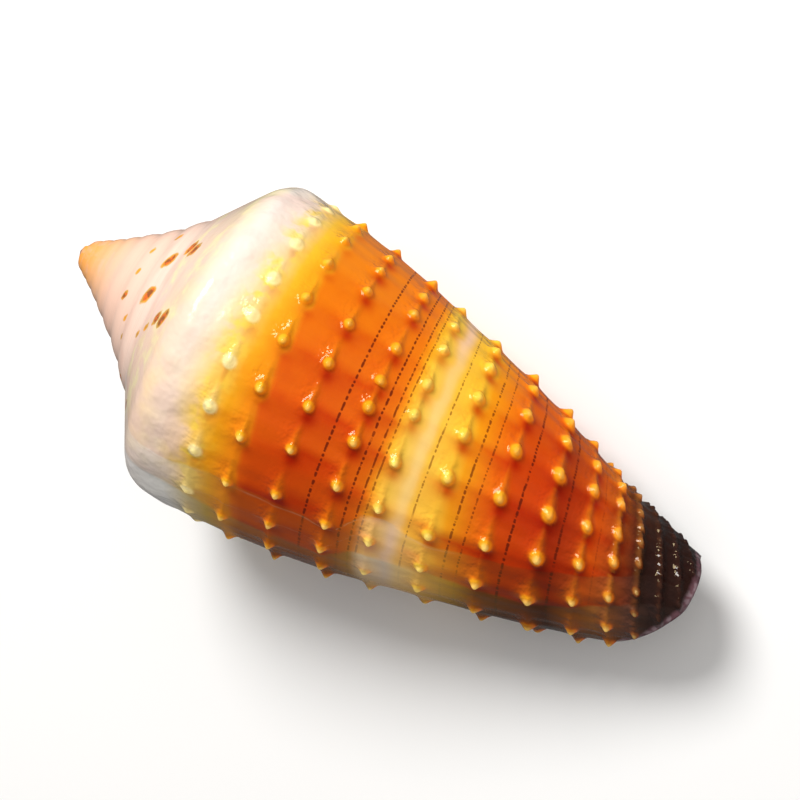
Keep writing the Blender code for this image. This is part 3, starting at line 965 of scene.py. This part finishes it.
    # Painted highlight: a paler core on each knob's head, also glowing in the emission
    painted_highlight = core * coloured * (0.25 + 0.75 * rise(growth, -4, 24))
    base = mix(painted_highlight * 0.75, base, mix(0.5, knob_colour, "FFF0A0"))
    # Painted glow: the knobs give off light, most on their shaded side, standing in for light shining
    # through them
    painted_glow = mound * (0.25 + 0.75 * painted_shade_side) * coloured
    through = mix(rise(station, 13.8, 15.2), "FFDC8C", colours.painted_knob_glow)
    glow = mix(painted_glow, "000000", through)
    glow = mix(painted_highlight, glow, "FFD060")
    # Painted glow in the cream band toward the lower side
    thin = bell(station - 25, 2.2) * rise(growth, 6, 34) * (1 - mound) * (1 - inner)
    glow = mix(thin * 0.55, glow, "F0A848")

    # Darker colour and rougher gloss beyond two edges toward the lip
    first_edge = graph.level(station, FIRST_EDGE, *EDGE_RANGE)
    second_edge = graph.level(station, SECOND_EDGE, *EDGE_RANGE)
    near = growth + (wobble - 0.5) * 5 + (grain - 0.5) * 2.5
    beyond_edges = rise(near - first_edge, -0.8, 0.8) * (0.34 - 0.16 * rise(station, 36, 38))
    beyond_edges = beyond_edges + rise(near - second_edge, -1.5, 1.5) * 0.54
    beyond_edges = beyond_edges * (1 - mound * 0.5) * (1 - tail * 0.45) * (1 - inner)
    base = mix(beyond_edges, base, graph.bands(at, LIP_BANDS))
    thread = bell(near - first_edge - 1.1, 0.35) + bell(near - first_edge - 8 - 4 * cloud, 0.3) * 0.7
    thread = thread * rise(grain, 0.35, 0.6) * rise(29 - station, 0, 3)
    base = mix(thread * 0.20, base, "D8B48C")

    # Painted shade: duller, darker colour on the underside near the far edge
    painted_shade_underside = rise(growth, 64, 80) * in_colour * (1 - inner) * 0.6
    base = mix(painted_shade_underside, base, tint(base, "8C8C7A"))

    # Rim of the front end, and the inside
    rim = mix(rise(noise(place, 1.8, 2.0), 0.44, 0.60), colours.rim, "8E767C")
    base = mix(rise(to_front + (cloud - 0.5) * 0.5, 0.52, 0.16) * 0.88, base, rim)
    inside = mix(rise(cloud, 0.35, 0.65), colours.inside, "F2D9C4")
    base = mix(inner, base, inside)

    # Fine growth lines and spiral threads in the gloss
    lines = noise(graph.around(place, 0.25, 92), 1.0, 3.0, 0.6)
    threads = noise(graph.around(place, 3.2, 3.5), 1.0, 2.0)
    plain = rise(station, 12.5, 15.0)
    veined = tint(base, mix(lines, "C8B8A8", "FFFFFF"))
    base = mix(0.03 + 0.10 * plain, base, veined)
    tree.links.new(base.socket, shader.inputs["Base Color"])
    # The emission carries the painted glow of the knobs and the cream band
    tree.links.new(glow.socket, shader.inputs["Emission Color"])
    shader.inputs["Emission Strength"].default_value = 0.25
    rough = (0.11 + 0.06 * cloud + 0.08 * beyond_edges + 0.05 * grain) * (1 - 0.5 * glint)
    tree.links.new(rough.socket, shader.inputs["Roughness"])
    shader.inputs["IOR"].default_value = 1.40
    shader.inputs["Specular Tint"].default_value = paint("FFE6B4")
    coat = 0.07 + 0.33 * rise(station, 36.6, 38.2) + 0.12 * rise(14 - station, 0, 1.5) + 0.25 * glint
    tree.links.new(coat.socket, shader.inputs["Coat Weight"])
    shader.inputs["Coat Roughness"].default_value = 0.04
    wet = rise(15 - station, 0, 1.5) * rise(down, 8.5, 11.0)
    tip = 0.9 + 1.5 * rise(station, 36.6, 38.2)
    relief = lines * plain * 0.08 + threads * 0.30 + noise(place, 3.0, 2.0) * 0.4
    relief = relief + noise(place, 1.5, 1.0) * wet * 2.6
    relief = relief + noise(place, 2.9, 1.0) * (glint * 4.8 + tail * 1.2 + graph.least(cord * 9, tip))
    relief = relief + noise(place, 4.5, 2.0) * (tail + mound) * 0.7
    bump = graph.node("ShaderNodeBump", {}, {"Height": relief, "Strength": 0.35, "Distance": 0.08 * MM})
    tree.links.new(bump.socket, shader.inputs["Normal"])
    return material


def socket_key(tree, name):
    for item in tree.interface.items_tree:
        if item.item_type == "SOCKET" and item.in_out == "INPUT" and item.name == name:
            return item.identifier
    raise KeyError(name)


def rest_turn():
    """Turn of the shell to the way it rests on a floor."""
    pitch = Matrix.Rotation(math.radians(REST_PITCH), 4, "Y")
    return pitch @ Matrix.Rotation(math.radians(REST_ROLL), 4, "X")


def cad_apex():
    """Apex of the CAD shell: its lowest point along X."""
    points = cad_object("shell").data.vertices
    return min((v.co.copy() for v in points), key=lambda p: p.x)


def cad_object(name):
    for item in bpy.data.objects:
        if item.type == "MESH" and item.name == name:
            return item
    raise RuntimeError("the CAD node is missing: " + name)


def view_axes():
    """Camera's right, down and forward directions in the frame."""
    slope, tilt = math.radians(AXIS_SLOPE), math.radians(AXIS_TILT)
    axis = (math.cos(slope) * math.cos(tilt), math.sin(slope) * math.cos(tilt), -math.sin(tilt))
    lip_side = (-math.sin(slope), math.cos(slope), 0)
    back = (-math.sin(tilt) * math.cos(slope), -math.sin(tilt) * math.sin(slope), -math.cos(tilt))
    turn = rest_turn().to_3x3()
    return [turn @ Vector((axis[k], -lip_side[k], back[k])) for k in range(3)]


class ShellSizes(bpy.types.PropertyGroup):
    """Sizes of the shell's relief"""

    knob_height: FloatProperty(name="Knob height", default=1.0, min=0, max=2, subtype="FACTOR",
                               description="Height of the knobs against the drawn height")
    tail_length: FloatProperty(name="Tail length", default=1.6, min=0.2, max=4,
                               description="Length of a knob's tail in millimetres")
    knob_lean: FloatProperty(name="Knob lean", default=0.35, min=0, max=1, subtype="FACTOR",
                             description="How far a knob leans toward the lip, against its height")
    cord_width: FloatProperty(name="Cord width", default=0.26, min=0.1, max=1,
                              description="Half width of the cord under a row, in millimetres")
    ripple_height: FloatProperty(name="Ripple height", default=0.16, min=0, max=0.5,
                                 description="Height of the growth ripples, in millimetres")


class ShellColours(bpy.types.PropertyGroup):
    """Colours of the glaze that aren't bands"""

    # Stain beyond each knob: partly the shell's colour, partly painted shade
    patch: FloatVectorProperty(name="Patch", size=4, subtype="COLOR", default=paint("D8805A"),
                               description="Stain beyond each knob, multiplied into the band")
    lines: FloatVectorProperty(name="Dotted lines", size=4, subtype="COLOR", default=paint("641808"),
                               description="Dark brown of the dotted lines")
    spots: FloatVectorProperty(name="Flame spots", size=4, subtype="COLOR", default=paint("E0640C"),
                               description="Red-brown of the spots on the spire")
    # Painted glow: emission colour of the knobs
    painted_knob_glow: FloatVectorProperty(name="Knob glow", size=4, subtype="COLOR", default=paint("F07010"),
                                   description="Light that shines through the knobs")
    rim: FloatVectorProperty(name="Rim", size=4, subtype="COLOR", default=paint("6C4A52"),
                             description="Purple-grey edge of the front end")
    inside: FloatVectorProperty(name="Inside", size=4, subtype="COLOR", default=paint("F8EAE0"),
                                description="Pale glaze inside the opening")


class StageSizes(bpy.types.PropertyGroup):
    """Floor and lights"""

    floor_size: FloatProperty(name="Floor size", default=3.0, min=0.5, unit="LENGTH",
                              description="Side of the floor")
    floor_colour: FloatVectorProperty(name="Floor", size=4, subtype="COLOR", default=paint("F4F3F1"),
                                      description="Pale floor")
    key_power: FloatProperty(name="Key light", default=0.66, min=0,
                             description="Power of the light at the upper left, in watts")
    soft_power: FloatProperty(name="Soft light", default=0.74, min=0,
                              description="Power of the light over the camera, in watts")
    sky: FloatProperty(name="Room light", default=0.13, min=0,
                       description="Strength of the light from all round")


class SHELL_OT_wind(bpy.types.Operator):
    """Wind the shell from its flat sheet and lay it where the CAD shell is"""

    bl_idname = "shell.wind"
    bl_label = "Wind the shell"

    def execute(self, context):
        sizes = context.scene.shell_sizes
        seats = knob_seats()
        sheet = bpy.data.objects.new("sheet", flat_mesh(lay_out_sheet()))
        context.scene.collection.objects.link(sheet)
        tree = winding_tree()
        glaze = shell_glaze(context.scene.shell_colours)
        wind = sheet.modifiers.new("wind", "NODES")
        wind.node_group = tree
        values = {"Knob seats": seats, "Glaze": glaze,
                  "Radius growth": RADIUS_RATE, "Axis growth": AXIS_RATE, "Early growth": EARLY_RATE,
                  "Early angle": float(EARLY_ANGLE), "Early spread": float(EARLY_SPREAD),
                  "Knob height": sizes.knob_height, "Tail length": sizes.tail_length,
                  "Knob lean": sizes.knob_lean, "Cord width": sizes.cord_width,
                  "Ripple height": sizes.ripple_height}
        for name, value in values.items():
            wind[socket_key(tree, name)] = value
        depsgraph = context.evaluated_depsgraph_get()
        wound = sheet.evaluated_get(depsgraph)
        mesh = bpy.data.meshes.new_from_object(wound, preserve_all_data_layers=True, depsgraph=depsgraph)
        mesh.name = "shell_body"
        place = Matrix.Translation(cad_apex()) @ rest_turn() @ Matrix.Scale(MM, 4)
        mesh.transform(place)
        if len(mesh.polygons) == 0:
            raise RuntimeError("the shell came out empty")
        shell = bpy.data.objects.new("shell_body", mesh)
        context.scene.collection.objects.link(shell)
        for spare in (sheet, seats):
            bpy.data.objects.remove(spare, do_unlink=True)
        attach(shell, "root")
        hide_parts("shell")
        return {"FINISHED"}


class SHELL_OT_stage(bpy.types.Operator):
    """Set the floor, the lights and the camera"""

    bl_idname = "shell.stage"
    bl_label = "Set the stage"

    def execute(self, context):
        scene = context.scene
        stage = scene.shell_stage
        half = stage.floor_size / 2
        mesh = bpy.data.meshes.new("floor")
        corners = [(x * half, y * half, 0) for x, y in ((-1, -1), (1, -1), (1, 1), (-1, 1))]
        mesh.from_pydata(corners, [], [(0, 1, 2, 3)])
        floor = bpy.data.objects.new("floor", mesh)
        scene.collection.objects.link(floor)
        material = bpy.data.materials.new("pale floor")
        material.use_nodes = True
        shader = material.node_tree.nodes["Principled BSDF"]
        graph = Graph(material.node_tree)
        spot = graph.node("ShaderNodeTexCoord", {}, {}, "Object")
        tone = graph.mix(graph.noise(spot, 14.0, 3.0), tuple(stage.floor_colour), paint("EFEDEA"))
        material.node_tree.links.new(tone.socket, shader.inputs["Base Color"])
        shader.inputs["Roughness"].default_value = 0.7
        mesh.materials.append(material)
        floor.visible_glossy = False

        self.light("key", KEY_LIGHT, stage.key_power)
        self.light("soft", SOFT_LIGHT, stage.soft_power).visible_glossy = False
        world = bpy.data.worlds.new("room")
        world.use_nodes = True
        world.node_tree.nodes["Background"].inputs["Color"].default_value = paint("FBFBFD")
        world.node_tree.nodes["Background"].inputs["Strength"].default_value = stage.sky
        scene.world = world

        lens = bpy.data.cameras.new("camera")
        lens.sensor_width = SENSOR
        lens.lens = VIEW_DISTANCE / VIEW_FRAME * SENSOR
        lens.clip_start = 0.005
        lens.clip_end = 20
        camera = bpy.data.objects.new("camera", lens)
        right, down, forward = view_axes()
        centre = VIEW_FRAME / 2
        to_apex = right * (APEX_SEEN[0] - centre) + down * (APEX_SEEN[1] - centre) + forward * VIEW_DISTANCE
        matrix = Matrix((right, -down, -forward)).transposed().to_4x4()
        matrix.translation = cad_apex() - to_apex * PIXEL * MM
        camera.matrix_world = matrix
        scene.collection.objects.link(camera)
        scene.camera = camera
        scene.view_settings.view_transform = "Standard"
        return {"FINISHED"}

    def light(self, name, setting, power):
        """Round light that shines on the middle of the shell."""
        way, distance, size = setting
        low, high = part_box("shell")
        target = (Vector(low) + Vector(high)) / 2
        place = target + sum((share * axis for share, axis in zip(way, view_axes())), Vector()) * distance
        lamp = bpy.data.lights.new(name, "AREA")
        lamp.shape = "DISK"
        lamp.size = size
        lamp.energy = power
        item = bpy.data.objects.new(name, lamp)
        item.location = place
        item.rotation_euler = (target - place).to_track_quat("-Z", "Y").to_euler()
        bpy.context.scene.collection.objects.link(item)
        return item


class SHELL_PT_panel(bpy.types.Panel):
    """Sizes, colours and operators of the shell"""

    bl_idname = "SHELL_PT_panel"
    bl_label = "Cone shell"
    bl_space_type = "VIEW_3D"
    bl_region_type = "UI"
    bl_category = "Shell"

    def draw(self, context):
        layout = self.layout
        scene = context.scene
        groups = ((scene.shell_sizes, ShellSizes), (scene.shell_colours, ShellColours),
                  (scene.shell_stage, StageSizes))
        for group, keys in groups:
            box = layout.box()
            for key in keys.__annotations__:
                box.prop(group, key)
        layout.operator(SHELL_OT_wind.bl_idname)
        layout.operator(SHELL_OT_stage.bl_idname)


CLASSES = (ShellSizes, ShellColours, StageSizes, SHELL_OT_wind, SHELL_OT_stage, SHELL_PT_panel)


def register():
    for item in CLASSES:
        bpy.utils.register_class(item)
    bpy.types.Scene.shell_sizes = PointerProperty(type=ShellSizes)
    bpy.types.Scene.shell_colours = PointerProperty(type=ShellColours)
    bpy.types.Scene.shell_stage = PointerProperty(type=StageSizes)


def unregister():
    del bpy.types.Scene.shell_stage
    del bpy.types.Scene.shell_colours
    del bpy.types.Scene.shell_sizes
    for item in reversed(CLASSES):
        bpy.utils.unregister_class(item)


def main():
    register()
    bpy.ops.shell.wind()
    bpy.ops.shell.stage()


if __name__ == "__main__":
    main()
